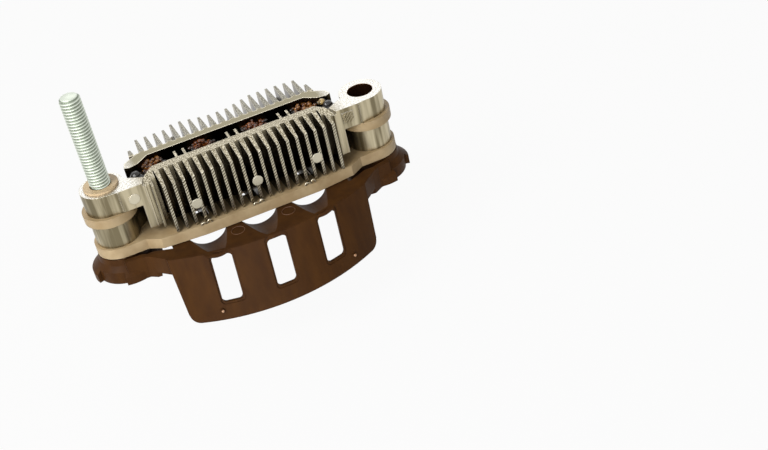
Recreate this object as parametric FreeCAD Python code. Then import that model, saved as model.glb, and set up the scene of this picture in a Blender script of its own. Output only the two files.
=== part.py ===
import FreeCAD, Part
import math
import os

V = FreeCAD.Vector

# Alternator rectifier. All sizes in mm.
# Drawn from the output stud's axis: X runs from the stud to the open fixing hole,
# Z along the stud to its free end, Y from the front heatsink to the rear one.
# Z = 0 is the seating plane, the top faces of the two upper ears.
# save() moves every piece so that the fixing bore's axis is the frame's origin.

# driving dimensions
bolt_spacing = 105.8
stud_r = 4.0
shank_r = 3.6
thread_lead = 0.4
stud_top_z = 38.6
stud_point = 0.9
stud_head_r = 7.6
stud_head_t = 3.0
stud_head_edge = 0.6
shank_clearance = 0.15
skin_gap = 0.1

# stack of ears, washers and board
upper_ear_r = 8.5
upper_ear_h = 9.0
ear_hole_r = 5.05
bush_seat_r = 5.6
collar_r = 6.7
collar_h = 0.9
washer_r = 10.2
washer_t = 3.8
lower_ear_r = 8.6
lower_ear_h = 10.1
board_t = 4.4
board_boss_r = 9.7
tube_bore_r = 3.6
tube_wall_r = 4.6
tube_hole_r = 4.7
tube_top_gap = 0.8

washer_top_z = -upper_ear_h
lower_ear_top_z = washer_top_z - washer_t
board_top_z = lower_ear_top_z - lower_ear_h
board_bottom_z = board_top_z - board_t

# gap between the two heatsinks
gap_front_y = 0.8
gap_rear_y = 10.0
sink_foot_gap = 0.2
sink_bottom_z = board_top_z + sink_foot_gap

# front (negative) heatsink
front_root_y = -3.0
front_tip_y = -13.4
front_knee_drop = 2.0
front_fin_count = 19
front_fin_x0 = 20.7
front_fin_far = 17.06
front_fin_pitch = (bolt_spacing - front_fin_x0 - front_fin_far) / (front_fin_count - 1)
front_fin_root_t = 1.9
front_fin_tip_t = 1.15
ridge_x0 = 20.0
ridge_x1 = bolt_spacing - 19.3
front_end_x0 = 11.7
front_end_x1 = bolt_spacing - front_end_x0
end_block_y = -9.0
end_block_w = 7.6
end_block_bottom_z = -19.5
end_inner_y = -6.6
end_rib_t = 0.9
end_rib_y = -10.6
end_rib_x = front_end_x0 + 5.3
edge_rib_t = 0.6
edge_rib_x = front_end_x0 + 3.0
edge_rib_proud = 0.45
arm_front_y = -9.0
arm_back_y = -2.6
ejector_r = 2.1
ejector_proud = 0.25
parting_x = 4.3
parting_w = 0.5
parting_proud = 0.3
front_ejector_x = [front_fin_x0 + k * front_fin_pitch for k in (2.57, 9.05, 15.58)]
front_ejector_z = -13.8
arm_ejector_x = 9.4
arm_ejector_z = -5.1
grip_pad_x = bolt_spacing - arm_ejector_x
grip_pad_z = -4.2
grip_pad_w = 4.6
gap_rib_t = 1.0
gap_rib_reach = 5.2
gap_rib_spread = 3.5
gap_rib_bottom_z = -18.0

# rear (positive) heatsink
rear_root_y = 13.6
rear_fin_count = 19
rear_fin_x0 = 19.5
rear_fin_far = 19.16
rear_fin_pitch = (bolt_spacing - rear_fin_x0 - rear_fin_far) / (rear_fin_count - 1)
rear_fin_root_t = 2.3
rear_fin_tip_t = 1.0
rear_reach_stud_end = 24.5
rear_reach_shoulder_1 = 26.6
rear_reach_hollow = 23.4
rear_reach_shoulder_2 = 27.5
rear_reach_bolt_end = 26.3
rear_foot_setback = 2.2
rear_end_x0 = 10.4
rear_end_x1 = bolt_spacing - rear_end_x0
rear_plate_x0 = 17.0
rear_end_fin_out = 1.8
rear_plate_x1 = bolt_spacing - rear_plate_x0
rear_lump_r = 2.0
rear_lump_x = [rear_fin_x0 + k * rear_fin_pitch for k in (3.89, 9.87, 15.82)]
rear_lump_z = -7.0
lower_arm_half_w = 4.4

# diode places
place_x0 = 20.5
place_far = 21.31
place_count = 4
place_pitch = (bolt_spacing - place_x0 - place_far) / (place_count - 1)
diode_r = 5.4
diode_t = 2.5
diode_z = -9.5
lead_t = 0.8
lead_w = 4.0
lead_y = 5.0
lead_top_z = -5.0
resin_half_w = 4.6
resin_top_z = -3.2
resin_bottom_z = -16.5
insulator_r = 3.2
insulator_y = 1.3
insulator_x = 13.4
insulator_top_z = -1.4
insulator_dome = 1.7

# terminal board
board_front_y = -14.2
board_kink_x0 = 8.5
board_kink_x1 = 13.6
board_rear_y = 8.2
tab_stud_x0 = 12.2
tab_stud_x1 = 27.5
tab_stud_y = 25.6
tab_bolt_x0 = bolt_spacing - 29.3
tab_bolt_y = 28.5
tab_corner_r = 2.2
lobe_board_x = bolt_spacing + 8.1
lobe_board_y = 31.0
terminal_w = 10.0
terminal_d = 7.4
terminal_y = -1.1
terminal_t = 0.9
pocket_w = 4.6
pocket_d = 2.6
pocket_y = -8.4
pocket_deep = 1.6
opening_w = 6.9
opening_y0 = -5.2
opening_y1 = 3.2
opening_foot_w = 10.6
opening_foot_y0 = -9.4
opening_foot_shift = -1.4
opening_foot_deep = 2.8
window_deep = 1.0
window_y0 = 14.4
window_y1 = 21.4
window_stud_x0 = 14.8
window_stud_x1 = 24.2
window_bolt_x0 = bolt_spacing - 25.4
window_bolt_x1 = bolt_spacing - 15.8
plate_t = 1.0
plate_lap = 1.2
tab_recess_deep = 0.7
tab_rim = 2.6

# straps seen through the openings
strap_w = 3.0
strap_t = 0.8
strap_shift = 1.6
strap_drop = 1.8
strap_y0 = -8.6
strap_y1 = 11.4
strap_pad_w = 4.6
strap_pad_shift = -1.4

# air shroud
wall = 1.6
deck_gap = 0.3
deck_top_z = board_bottom_z - deck_gap
flange_bottom_z = -54.0
fold_arc_r = 91.0
fold_mid_x = bolt_spacing / 2 + 0.1
fold_end_y = -21.34
hem_arc_r = 76.0
hem_mid_x = bolt_spacing / 2 - 2.4
hem_end_y = -28.62
flange_top_x0 = 12.2
flange_top_x1 = bolt_spacing - 12.2
flange_hem_x0 = 13.2
flange_hem_x1 = bolt_spacing - 13.8
flange_corner_r = 3.2
flange_window_w = 7.8
flange_window_top_z = -29.2
flange_window_bottom_z = -47.4
flange_window_x = [bolt_spacing / 2 - 0.3 + k * place_pitch for k in (-1, 0, 1)]
flange_window_lean = -1.1
flange_window_r = 1.6
window_land_side = 0.7
window_land_top = 1.6
window_land_deep = 0.4
flange_pip_r = 0.8
flange_pip_x = (flange_window_x[0] - 6.3, flange_window_x[2] + 6.6)
flange_pip_z = -50.0
scoop_pitch = place_pitch - 0.6
scoop_x = [bolt_spacing / 2 - 1.2 + k * scoop_pitch for k in (-1, 0, 1)]
tongue_w = 5.6
scoop_lap = 0.93
scoop_rim_r = (place_pitch - tongue_w) / 2 + scoop_lap
scoop_end_r = scoop_rim_r - 2.4
scoop_rim_y = -14.8
scoop_end_y = -29.0
scoop_dip = 3.6
tongue_back_y = -10.4
notch_corner_r = 3.2
tongue_mark_r = 2.6
tongue_mark_y = -19.6
tongue_mark_deep = 0.15

# shroud wings round the two bolts
wing_bottom_z = -37.2
wing_plate_t = 2.2
wing_rim_h = 3.4
recess_r = 9.45
recess_floor_z = -32.3
bell_top_r = 9.8
bell_rim_r = 13.8
notch_rim_r = 12.1
notch_angle_0 = 200.0
notch_angle_1 = 254.0
neck_bottom_z = -35.0
neck_end_stud = 0.7
neck_end_bolt = -0.2
deck_end_reach = 4.3
deck_front_set = wall / 2


def cyl(r, z0, z1, x=0.0, y=0.0):
    return Part.makeCylinder(r, z1 - z0, V(x, y, z0))


def cyl_y(r, y0, y1, x, z):
    return Part.makeCylinder(r, y1 - y0, V(x, y0, z), V(0, 1, 0))


def block(x0, x1, y0, y1, z0, z1):
    return Part.makeBox(x1 - x0, y1 - y0, z1 - z0, V(x0, y0, z0))


def flat_wire(points, z):
    corners = [V(x, y, z) for x, y in points]
    return Part.makePolygon(corners + [corners[0]])


def prism(points, z0, z1):
    return Part.Face(flat_wire(points, z0)).extrude(V(0, 0, z1 - z0))


def mirror_x(points):
    return [(bolt_spacing - x, y) for x, y in points]


def fuse_all(shapes):
    body = shapes[0]
    if len(shapes) > 1:
        body = body.multiFuse(shapes[1:])
    return body.removeSplitter()


def cut_all(body, tools):
    for tool in tools:
        body = body.cut(tool)
    return body


def round_upright(body, radius, test):
    edges = []
    for edge in body.Edges:
        if len(edge.Vertexes) != 2:
            continue
        a, b = edge.Vertexes[0].Point, edge.Vertexes[1].Point
        upright = abs(a.x - b.x) < 1e-6 and abs(a.y - b.y) < 1e-6
        if upright and test(a.x, a.y):
            edges.append(edge)
    return body.makeFillet(radius, edges)


def place_xs():
    return [place_x0 + i * place_pitch for i in range(place_count)]


def opening_xs():
    return [x + place_pitch / 2 for x in place_xs()[:-1]]


def save(name, shape):
    moved = shape.copy()
    moved.translate(V(-bolt_spacing, 0, 0))
    solids = moved.Solids
    if len(solids) == 1:
        moved = solids[0]
    print(name, len(solids), round(moved.Volume, 1), moved.isValid())
    moved.exportStep("parts/" + name + ".step")


# front heatsink: plate with angled ends, tapered fins, arms and ears
def front_plate():
    half = [(ridge_x0, gap_front_y), (15.2, arm_back_y - 2.2), (front_end_x0, -5.4),
            (front_end_x0, end_block_y), (end_rib_x, end_block_y), (end_rib_x, end_inner_y),
            (front_end_x0 + end_block_w, end_inner_y), (front_end_x0 + end_block_w, front_root_y)]
    low = [(x, y) for x, y in half]
    high = mirror_x(half)
    high[0] = (ridge_x1, gap_front_y)
    return prism(low + high[::-1], end_block_bottom_z, 0.0)


def front_skirt():
    return block(ridge_x0, ridge_x1, front_root_y, gap_front_y, sink_bottom_z, end_block_bottom_z + 1)


def front_fin(x, tip_y):
    root_h, tip_h = front_fin_root_t / 2, front_fin_tip_t / 2
    back = front_root_y + 0.5
    points = [(x - root_h, back), (x + root_h, back), (x + tip_h, tip_y), (x - tip_h, tip_y)]
    return prism(points, sink_bottom_z, 0.0)


def front_slope():
    deep = front_tip_y - 4
    fall = front_knee_drop * (deep - front_root_y) / (front_tip_y - front_root_y)
    tri = [V(0, front_root_y, 0), V(0, deep, -fall), V(0, deep, 2), V(0, front_root_y, 2)]
    face = Part.Face(Part.makePolygon(tri + [tri[0]]))
    return face.extrude(V(bolt_spacing, 0, 0))


def end_ribs():
    half_rib, half_edge = end_rib_t / 2, edge_rib_t / 2
    ribs = [block(end_rib_x - half_rib, end_rib_x + half_rib, end_rib_y, end_inner_y,
                  end_block_bottom_z - end_rib_t, 0.0)]
    for x in (edge_rib_x, bolt_spacing - edge_rib_x):
        ribs.append(block(x - half_edge, x + half_edge, end_block_y - edge_rib_proud, end_inner_y,
                          end_block_bottom_z, 0.0))
    return ribs


def parting_rib(x):
    half = parting_w / 2
    return block(x - half, x + half, arm_front_y - parting_proud, arm_back_y,
                 parting_w - upper_ear_h, -parting_w / 2)


def front_arm():
    arm = [(0, arm_front_y + 0.5), (3.9, arm_front_y), (front_end_x0 + 2, arm_front_y),
           (15.2, arm_back_y - 2.2), (8.2, arm_back_y + 2.4), (0, arm_back_y + 3.2)]
    return arm


def negative_heatsink():
    pieces = [front_plate(), front_skirt()]
    xs = [front_fin_x0 + i * front_fin_pitch for i in range(front_fin_count)]
    pieces += [front_fin(x, front_tip_y) for x in xs]
    pieces += end_ribs()
    for x in place_xs()[1:]:
        mid = x - place_pitch / 2
        for side in (-1, 1):
            cx = mid + side * gap_rib_spread / 2 + 0.8
            pieces.append(block(cx - gap_rib_t / 2, cx + gap_rib_t / 2, gap_front_y - 0.5,
                                gap_front_y + gap_rib_reach, gap_rib_bottom_z, -0.3))
    for x in front_ejector_x:
        pieces.append(cyl_y(ejector_r, front_tip_y - ejector_proud, front_root_y, x, front_ejector_z))
    body = fuse_all(pieces).cut(front_slope())
    ears = [prism(front_arm(), -upper_ear_h, 0.0), prism(mirror_x(front_arm()), -upper_ear_h, 0.0)]
    ears += [cyl(upper_ear_r, -upper_ear_h, 0.0), cyl(upper_ear_r, -upper_ear_h, 0.0, bolt_spacing)]
    ears.append(cyl_y(ejector_r, arm_front_y - ejector_proud, arm_front_y + 1, arm_ejector_x, arm_ejector_z))
    ears += [parting_rib(parting_x), parting_rib(bolt_spacing - parting_x)]
    half_pad = grip_pad_w / 2
    ears.append(block(grip_pad_x - half_pad, grip_pad_x + half_pad, arm_front_y - ejector_proud,
                      arm_front_y + 1, grip_pad_z - half_pad, grip_pad_z + half_pad))
    body = fuse_all([body] + ears)
    holes = [cyl(bush_seat_r, -upper_ear_h - 1, 1), cyl(ear_hole_r, -upper_ear_h - 1, 1, bolt_spacing)]
    return cut_all(body, holes)


# rear heatsink: fins whose reach follows the housing wall
def rear_reach(x):
    stations = [(-1.2, rear_reach_stud_end), (3.0, rear_reach_stud_end - 0.2),
                (3.9, rear_reach_shoulder_1), (5.0, rear_reach_shoulder_1),
                (7.9, rear_reach_hollow), (10.0, rear_reach_hollow),
                (13.0, rear_reach_shoulder_2), (15.1, rear_reach_shoulder_2),
                (18.1, rear_reach_bolt_end), (19.4, rear_reach_stud_end - 2)]
    at = (x - rear_fin_x0) / rear_fin_pitch
    for (a, reach_a), (b, reach_b) in zip(stations, stations[1:]):
        if a <= at <= b:
            return reach_a + (reach_b - reach_a) * (at - a) / (b - a)
    return rear_reach_stud_end


def rear_fin(x, reach):
    root_h, tip_h = rear_fin_root_t / 2, rear_fin_tip_t / 2
    back = rear_root_y - 0.5
    points = [(x - root_h, back), (x + root_h, back), (x + tip_h, reach), (x - tip_h, reach)]
    fin = prism(points, sink_bottom_z, 0.0)
    foot = [V(x - 3, reach - rear_foot_setback, sink_bottom_z - 1), V(x - 3, reach + 3, sink_bottom_z - 1),
            V(x - 3, reach + 3, 0.5), V(x - 3, reach, 0.5)]
    return fin.cut(Part.Face(Part.makePolygon(foot + [foot[0]])).extrude(V(6, 0, 0)))


def rear_arm_points():
    return [(rear_plate_x0, rear_root_y), (11.2, 9.4), (rear_end_x0, 6.2), (12.2, 5.2), (15.8, 6.0),
            (20.6, gap_rear_y), (24.0, gap_rear_y), (24.0, rear_root_y)]


def positive_heatsink():
    pieces = [block(rear_plate_x0 + 3, rear_plate_x1 - 3, gap_rear_y, rear_root_y, sink_bottom_z, 0.0)]
    pieces.append(prism(rear_arm_points(), sink_bottom_z, 0.0))
    pieces.append(prism(mirror_x(rear_arm_points()), sink_bottom_z, 0.0))
    for i in range(rear_fin_count):
        x = rear_fin_x0 + i * rear_fin_pitch
        pieces.append(rear_fin(x, rear_reach(x)))
    pieces.append(rear_fin(rear_plate_x0 - rear_end_fin_out, rear_reach_stud_end - 6.5))
    pieces.append(rear_fin(rear_plate_x1 + rear_end_fin_out / 2, rear_reach_stud_end - 5.0))
    for x in rear_lump_x:
        pieces.append(cyl_y(rear_lump_r, rear_root_y - 1, rear_reach(x) - 0.4, x, rear_lump_z))
    low = [(0, -lower_arm_half_w), (5.0, -lower_arm_half_w), (15.8, 6.0), (16, 10.5), (11.2, 9.4), (0, 8.2)]
    for points in (low, mirror_x(low)):
        pieces.append(prism(points, board_top_z, lower_ear_top_z))
    pieces.append(cyl(lower_ear_r, board_top_z, lower_ear_top_z))
    pieces.append(cyl(lower_ear_r, board_top_z, lower_ear_top_z, bolt_spacing))
    body = fuse_all(pieces)
    holes = [cyl(stud_r + shank_clearance, board_top_z - 1, lower_ear_top_z + 1),
             cyl(tube_hole_r, board_top_z - 1, lower_ear_top_z + 1, bolt_spacing)]
    for x in (place_xs()[0], place_xs()[-1]):
        holes.append(place_seat(x))
    return cut_all(body, holes)


# room that the end places' diodes and resin take out of the rear heatsink's arms
def place_seat(x):
    half = resin_half_w + skin_gap
    seat = block(x - half, x + half, gap_front_y, gap_rear_y, resin_bottom_z - skin_gap, resin_top_z + skin_gap)
    return seat.fuse(cyl_y(diode_r + skin_gap, gap_front_y, gap_rear_y, x, diode_z))


# stack pieces
def output_stud():
    head_top = recess_floor_z
    thread_z = collar_h + thread_lead
    shank = cyl(shank_r, head_top, thread_z)
    thread = cyl(stud_r, thread_z, stud_top_z - stud_point)
    tip = Part.makeCone(stud_r, stud_r - stud_point, stud_point, V(0, 0, stud_top_z - stud_point))
    head = cyl(stud_head_r, head_top - stud_head_t, head_top)
    rim = [e for e in head.Edges if abs(e.CenterOfMass.z - head_top + stud_head_t) < 1e-6]
    head = head.makeChamfer(stud_head_edge, rim)
    return fuse_all([shank, thread, tip, head])


def stud_bush():
    body = cyl(collar_r, 0.0, collar_h)
    body = body.fuse(cyl(bush_seat_r - skin_gap, -upper_ear_h, 0.0))
    return body.cut(cyl(stud_r + shank_clearance, -upper_ear_h - 1, collar_h + 1)).removeSplitter()


def washer(x, hole_r):
    body = cyl(washer_r, washer_top_z - washer_t, washer_top_z, x)
    return body.cut(cyl(hole_r, washer_top_z - washer_t - 1, washer_top_z + 1, x))


# diode places
def diode(x, y0, y1):
    return cyl_y(diode_r, y0, y1, x, diode_z)


def lead_frame(x):
    half = lead_w / 2
    pad_y1 = terminal_y + terminal_d / 2
    jog_z = board_top_z + 1.6
    plate = block(x - terminal_w / 2, x + terminal_w / 2, pad_y1 - terminal_d, pad_y1,
                  board_bottom_z, board_bottom_z + terminal_t)
    rise = block(x - half, x + half, pad_y1 - lead_t, pad_y1, board_bottom_z, jog_z + lead_t)
    jog = block(x - half, x + half, pad_y1 - lead_t, lead_y + lead_t, jog_z, jog_z + lead_t)
    top = block(x - half, x + half, lead_y, lead_y + lead_t, jog_z, lead_top_z)
    body = fuse_all([plate, rise, jog, top])
    return cut_all(body, terminal_slots(x))


def terminal_slots(x):
    z0, z1 = board_bottom_z - 1, board_bottom_z + terminal_t + 1
    y = terminal_y - 0.4
    upper = [(x + 3.2, y + 1.6), (x + 2.4, y + 2.2), (x - 3.6, y + 0.2), (x - 3.2, y - 0.6)]
    lower = [(x + 3.0, y - 1.2), (x + 2.4, y - 2.0), (x - 0.6, y - 2.4), (x - 0.8, y - 1.5)]
    return [prism(upper, z0, z1), prism(lower, z0, z1)]


def resin(x, neighbours):
    body = block(x - resin_half_w, x + resin_half_w, gap_front_y, gap_rear_y, resin_bottom_z, resin_top_z)
    return cut_all(body, neighbours)


def end_insulator(x, neighbours):
    top = insulator_top_z - insulator_dome
    body = cyl(insulator_r, lower_ear_top_z + skin_gap, top, x, insulator_y)
    ball_r = (insulator_r ** 2 + insulator_dome ** 2) / (2 * insulator_dome)
    ball = Part.makeSphere(ball_r, V(x, insulator_y, insulator_top_z - ball_r))
    cap = ball.common(cyl(insulator_r, top, insulator_top_z + 1, x, insulator_y))
    return cut_all(fuse_all([body, cap]), neighbours)


# terminal board
def board_outline():
    stud_side = [(0, -board_boss_r), (board_kink_x0, -board_boss_r - 0.1), (board_kink_x1, board_front_y + 0.9)]
    bolt_side = mirror_x(stud_side)[::-1]
    mid = [(bolt_spacing / 2 - 22, board_front_y - 0.9), (bolt_spacing / 2 + 24, board_front_y - 1.1)]
    top = [(bolt_spacing, -board_boss_r), (bolt_spacing + 9.0, 0), (lobe_board_x, 14.0), (lobe_board_x - 0.4, 20.0),
           (lobe_board_x - 1.9, 26.4), (lobe_board_x - 5.0, lobe_board_y - 0.4), (bolt_spacing - 1.8, lobe_board_y),
           (bolt_spacing - 12.2, tab_bolt_y), (tab_bolt_x0, tab_bolt_y), (tab_bolt_x0, board_rear_y),
           (tab_stud_x1, board_rear_y), (tab_stud_x1, tab_stud_y), (tab_stud_x0, tab_stud_y),
           (tab_stud_x0, 12.0), (8.6, 4.5), (0, board_boss_r)]
    return stud_side + mid + bolt_side[:-1] + top


def board_body():
    body = prism(board_outline(), board_bottom_z, board_top_z)
    for x in (0.0, bolt_spacing):
        body = body.fuse(cyl(board_boss_r, board_bottom_z, board_top_z, x))
    body = body.removeSplitter()
    corners = ((tab_stud_x0, tab_stud_y), (tab_stud_x1, tab_stud_y), (tab_bolt_x0, tab_bolt_y))
    return round_upright(body, tab_corner_r,
                         lambda x, y: any(abs(x - a) + abs(y - b) < 1e-3 for a, b in corners))


def window_points(x0, x1):
    w = x1 - x0
    return [(x0, window_y0), (x1, window_y0), (x1, window_y1 + 0.3), (x1 - 0.27 * w, window_y1 - 1.4),
            (x1 - 0.45 * w, window_y1 - 0.3), (x1 - 0.8 * w, window_y1 + 0.5), (x0, window_y1 - 0.6)]


def board_cuts():
    low, high = board_bottom_z - 1, board_top_z + 1
    tools = [cyl(stud_r + shank_clearance, low, high), cyl(tube_hole_r, low, high, bolt_spacing)]
    for x in place_xs():
        half_w, half_d = terminal_w / 2 + skin_gap, terminal_d / 2 + skin_gap
        tools.append(block(x - half_w, x + half_w, terminal_y - half_d, terminal_y + half_d,
                           low, board_bottom_z + terminal_t))
        pad_y1 = terminal_y + terminal_d / 2
        tools.append(block(x - lead_w / 2 - skin_gap, x + lead_w / 2 + skin_gap,
                           pad_y1 - lead_t - skin_gap, pad_y1 + skin_gap, low, high))
        px = x - 0.6
        tools.append(block(px - pocket_w / 2, px + pocket_w / 2, pocket_y - pocket_d / 2,
                           pocket_y + pocket_d / 2, low, board_bottom_z + pocket_deep))
    for x in opening_xs():
        tools.append(block(x - opening_w / 2, x + opening_w / 2, opening_y0, opening_y1, low, high))
        fx = x + opening_foot_shift
        tools.append(block(fx - opening_foot_w / 2, fx + opening_foot_w / 2, opening_foot_y0, opening_y0 + 0.8,
                           low, board_bottom_z + opening_foot_deep))
        sx = x + strap_shift
        half = strap_w / 2 + skin_gap
        tools.append(block(sx - half, sx + half, strap_y0 - skin_gap, board_rear_y + 1, strap_z0(), high))
    for x0, x1 in ((window_stud_x0, window_stud_x1), (window_bolt_x0, window_bolt_x1)):
        tools.append(prism(window_points(x0, x1), low, board_bottom_z + window_deep))
        tools.append(block(x0 - plate_lap - skin_gap, x1 + plate_lap + skin_gap,
                           window_y0 - plate_lap - skin_gap, window_y1 + 2 * plate_lap + skin_gap,
                           board_bottom_z + window_deep, high))
        tools.append(block(x0 - 0.2, x1 + 0.2, window_y0 - 0.2, window_y1 + 3.6, low,
                           board_bottom_z + tab_recess_deep))
    return tools


def strap_z0():
    return board_bottom_z + strap_drop


def terminal_board():
    return cut_all(board_body(), board_cuts()).removeSplitter()


def contact_plate(x0, x1):
    z = board_bottom_z + window_deep
    return block(x0 - plate_lap, x1 + plate_lap, window_y0 - plate_lap, window_y1 + 2 * plate_lap, z, z + plate_t)


def link_strap(x):
    sx = x + strap_shift
    z0 = strap_z0()
    body = block(sx - strap_w / 2, sx + strap_w / 2, strap_y0, board_rear_y + strap_t, z0, z0 + strap_t)
    px = sx + strap_pad_shift
    pad = block(px - strap_pad_w / 2, px + strap_pad_w / 2, board_rear_y + skin_gap, strap_y1, z0, z0 + strap_t)
    return fuse_all([body, pad])


# air shroud
def bow(x, mid_x, radius):
    return radius - math.sqrt(radius ** 2 - (x - mid_x) ** 2)


def fold_y(x):
    return fold_end_y + bow(x, fold_mid_x, fold_arc_r) - bow(flange_top_x0, fold_mid_x, fold_arc_r)


def hem_y(x):
    return hem_end_y + bow(x, hem_mid_x, hem_arc_r) - bow(flange_hem_x0, hem_mid_x, hem_arc_r)


def band_wire(x0, x1, mid_x, line_y, z):
    outer = [V(x, line_y(x), z) for x in (x0, mid_x, x1)]
    inner = [V(p.x, p.y + wall, z) for p in outer]
    return Part.Wire([Part.Arc(outer[0], outer[1], outer[2]).toShape(), Part.makeLine(outer[2], inner[2]),
                      Part.Arc(inner[2], inner[1], inner[0]).toShape(), Part.makeLine(inner[0], outer[0])])


def xz_prism(points, radius, y0, y1):
    corners = [V(x, y0, z) for x, z in points]
    body = Part.Face(Part.makePolygon(corners + [corners[0]])).extrude(V(0, y1 - y0, 0))
    edges = [e for e in body.Edges if abs(e.Vertexes[0].Point.y - e.Vertexes[1].Point.y) > 1]
    return body.makeFillet(radius, edges)


def window_outline(x, side, rise):
    half = flange_window_w / 2 + side
    points = [(x - half, flange_window_top_z + rise), (x + half, flange_window_top_z + rise),
              (x + half + flange_window_lean, flange_window_bottom_z - side),
              (x - half + flange_window_lean, flange_window_bottom_z - side)]
    return xz_prism(points, flange_window_r, -60, 0)


def flange():
    top = band_wire(flange_top_x0, flange_top_x1, fold_mid_x, fold_y, deck_top_z)
    hem = band_wire(flange_hem_x0, flange_hem_x1, hem_mid_x, hem_y, flange_bottom_z)
    body = Part.makeLoft([top, hem], True, True)
    rounded = xz_prism([(-5, flange_bottom_z), (-5, 10), (bolt_spacing + 5, 10), (bolt_spacing + 5, flange_bottom_z)],
                       1.0, -60, 20)
    for x, side in ((flange_hem_x0, 1), (flange_hem_x1, -1)):
        z = flange_bottom_z
        r = flange_corner_r
        nick = block(min(x - side * 3, x + side * r), max(x - side * 3, x + side * r), -60, 20, z - 1, z + r)
        nick = nick.cut(cyl_y(r, -60, 20, x + side * r, z + r))
        body = body.cut(nick)
    skin = body.copy()
    skin.translate(V(0, window_land_deep - wall, 0))
    for x in flange_window_x:
        body = body.cut(window_outline(x, window_land_side, window_land_top).common(skin))
        body = body.cut(window_outline(x, 0.0, 0.0))
    return body.common(rounded)


def deck_plan():
    x0, x1 = flange_top_x0, flange_top_x1
    outer = [V(x, fold_y(x) + deck_front_set, deck_top_z) for x in (x0, fold_mid_x, x1)]
    inner = [(x1, fold_y(x1) + deck_end_reach), (bolt_spacing - 16.6, -15.4), (bolt_spacing - 16.6, tongue_back_y),
             (16.6, tongue_back_y), (16.6, -15.4), (x0, fold_y(x0) + deck_end_reach)]
    corners = [V(x, y, deck_top_z) for x, y in inner]
    edges = [Part.Arc(outer[0], outer[1], outer[2]).toShape(), Part.makeLine(outer[2], corners[0])]
    edges += [Part.makeLine(a, b) for a, b in zip(corners, corners[1:])]
    edges.append(Part.makeLine(corners[-1], outer[0]))
    return Part.Face(Part.Wire(edges)).extrude(V(0, 0, -wall))


def scoop_cone(x, extra):
    run = scoop_rim_y + 4 - scoop_end_y
    z_rim = deck_top_z - scoop_dip + scoop_rim_r
    z_end = deck_top_z - 0.2 + scoop_end_r
    axis = V(0, -run, (z_end - z_rim) * run / (scoop_rim_y - scoop_end_y))
    start = V(x, scoop_rim_y + 4, z_rim - (z_end - z_rim) * 4 / (scoop_rim_y - scoop_end_y))
    r0 = scoop_rim_r + (scoop_rim_r - scoop_end_r) * 4 / (scoop_rim_y - scoop_end_y)
    return Part.makeCone(r0 + extra, scoop_end_r + extra, axis.Length, start, axis)


def notch_tool(x):
    half = (place_pitch - tongue_w) / 2
    body = block(x - half, x + half, scoop_rim_y, 0, deck_top_z - 12, deck_top_z + 5)
    return round_upright(body, notch_corner_r, lambda px, py: abs(py - scoop_rim_y) < 1e-6)


def deck():
    body = deck_plan()
    for x in scoop_x:
        side = scoop_rim_r + scoop_lap
        limit = block(x - side, x + side, scoop_end_y, -8, deck_top_z - 12, deck_top_z)
        shell = scoop_cone(x, wall).common(limit)
        body = body.fuse(shell)
    for x in scoop_x:
        body = body.cut(scoop_cone(x, 0.0))
    for x in scoop_x:
        body = body.cut(notch_tool(x))
    for xa, xb in zip(scoop_x, scoop_x[1:]):
        x = (xa + xb) / 2
        body = body.cut(cyl(tongue_mark_r, deck_top_z - tongue_mark_deep, deck_top_z + 1, x, tongue_mark_y))
    return body


def neck_points_stud():
    return [(-2.0, -12.6), (5.4, -13.4), (7.8, -15.4), (flange_top_x0 + 0.4, fold_y(flange_top_x0) + neck_end_stud)]


def wing_points_stud():
    return neck_points_stud()[:3] + [(9.4, -15.6), (11.0, -8.6), (11.6, -1.2), (10.6, 9.0), (9.8, 17.0),
                                     (8.4, 23.6), (6.4, 23.4), (-0.6, 16.9), (-4.6, 13.0)]


def neck_points_bolt():
    s = bolt_spacing
    return [(s + 2.0, -12.6), (s - 3.4, -13.7), (s - 6.9, -16.0), (flange_top_x1 - 0.4, fold_y(flange_top_x1) + neck_end_bolt)]


def wing_points_bolt():
    s = bolt_spacing
    inner = [(s - 8.8, -15.8), (s - 10.6, -8.6), (s - 10.4, -0.6), (s - 10.2, 7.0), (s - 10.0, 14.4), (s - 9.1, 20.1)]
    lobe = [(s - 8.6, 29.0), (s - 8.4, 34.0), (s - 6.6, 35.3), (s - 0.4, 35.4), (s + 4.2, 33.9), (s + 7.7, 31.1),
            (s + 9.9, 27.2), (s + 10.6, 22.6), (s + 11.0, 15.6), (s + 12.1, 8.0)]
    return neck_points_bolt()[:3] + inner + lobe


def bell(x):
    rim_top = wing_bottom_z + wing_rim_h
    profile = [V(0, 0, wing_bottom_z), V(bell_rim_r, 0, wing_bottom_z), V(bell_rim_r, 0, rim_top),
               V(bell_rim_r - 1.2, 0, rim_top + 1.1), V(bell_top_r + 0.4, 0, deck_top_z - 2.6),
               V(bell_top_r, 0, deck_top_z), V(0, 0, deck_top_z)]
    body = Part.Face(Part.makePolygon(profile + [profile[0]])).revolve(V(0, 0, 0), V(0, 0, 1), 360)
    body.translate(V(x, 0, 0))
    return body


def rim_notch(x, mirrored):
    a0, a1 = notch_angle_0, notch_angle_1
    if mirrored:
        a0, a1 = 540 - notch_angle_1, 540 - notch_angle_0
    ring = cyl(bell_rim_r + 6, wing_bottom_z - 1, wing_bottom_z + wing_rim_h + 2.2, x)
    ring = ring.cut(cyl(notch_rim_r, wing_bottom_z - 2, wing_bottom_z + wing_rim_h + 3, x))
    far = 40
    wedge = [(x, 0)]
    for a in (a0, (a0 + a1) / 2, a1):
        wedge.append((x + far * math.cos(math.radians(a)), far * math.sin(math.radians(a))))
    return ring.common(prism(wedge, wing_bottom_z - 1, wing_bottom_z + wing_rim_h + 2.2))


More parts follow.
